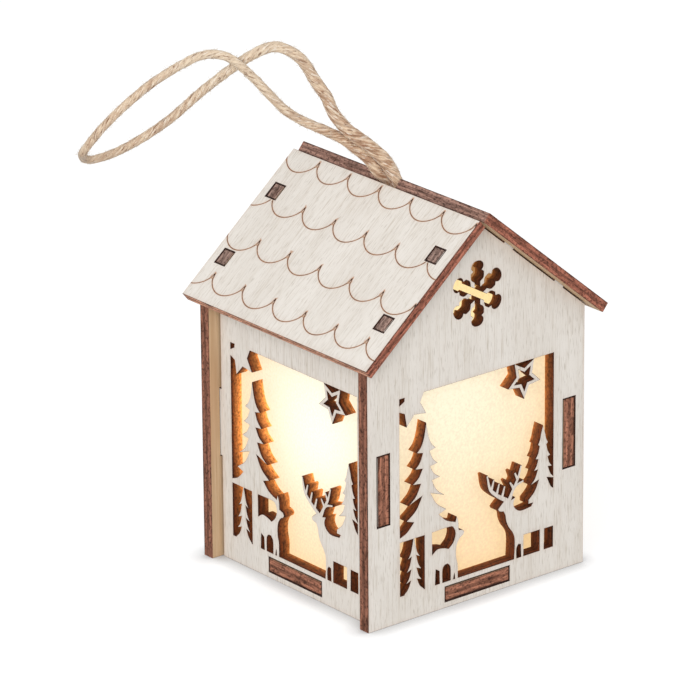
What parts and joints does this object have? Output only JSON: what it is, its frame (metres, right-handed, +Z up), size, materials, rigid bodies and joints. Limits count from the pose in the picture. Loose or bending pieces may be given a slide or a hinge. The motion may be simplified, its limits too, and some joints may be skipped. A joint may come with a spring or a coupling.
{
  "type": "light-up house ornament",
  "caption": "Laser-cut plywood house with winter scenes cut in its walls, frosted sheets behind them, a battery lamp in the floor and a twine hanging loop.",
  "frame": {"origin": "on the table, under the middle of the house", "axes": "+Z up, -Y out of the front gable, +X to the right seen from the front"},
  "size_m": [0.0906, 0.0786, 0.1209],
  "materials": {
    "whitewashed_ply": "thin white wash over birch plywood, with laser-burnt edges",
    "birch_ply": "bare sanded birch plywood",
    "frosted_film": "frosted film, lit from behind",
    "jute_twine": "twisted natural jute",
    "white_plastic": "moulded white ABS",
    "black_plastic": "moulded black nylon",
    "warm_lens": "clear warm epoxy, lit",
    "board_laminate": "green solder mask on laminate",
    "nickel_contact": "nickel-plated strip",
    "cell_steel": "drawn steel can",
    "screw_steel": "zinc-plated steel"
  },
  "bodies": {
    "house": {"front_wall": "whitewashed_ply", "back_wall": "whitewashed_ply", "left_wall": "whitewashed_ply", "right_wall": "whitewashed_ply", "left_roof_panel": "whitewashed_ply", "right_roof_panel": "whitewashed_ply", "floor_panel": "birch_ply", "front_diffuser": "frosted_film", "back_diffuser": "frosted_film", "left_diffuser": "frosted_film", "right_diffuser": "frosted_film", "hanging_cord": "jute_twine", "cord_knot": "jute_twine", "lamp_housing": "white_plastic", "lamp_base": "white_plastic", "button_cell": "cell_steel", "battery_holder": "black_plastic", "negative_contact": "nickel_contact", "positive_contact": "nickel_contact", "circuit_board": "board_laminate", "led_bulb": "warm_lens", "switch_shell": "nickel_contact", "front_flange_screw": "screw_steel", "back_flange_screw": "screw_steel", "front_board_screw": "screw_steel", "back_board_screw": "screw_steel"},
    "cap": {"battery_cap": "white_plastic"},
    "slider": {"switch_slider": "black_plastic"}
  },
  "joints": [
    {"name": "battery_cap_turn", "type": "hinge", "parent": "house", "child": "cap", "pos_m": [0.0025, 0, 0.0009], "axis": [0, 0, -1], "range_deg": [0, 50]},
    {"name": "switch_slide", "type": "slide", "parent": "house", "child": "slider", "axis": [0, -1, 0], "range_m": [0, 0.002]}
  ]
}
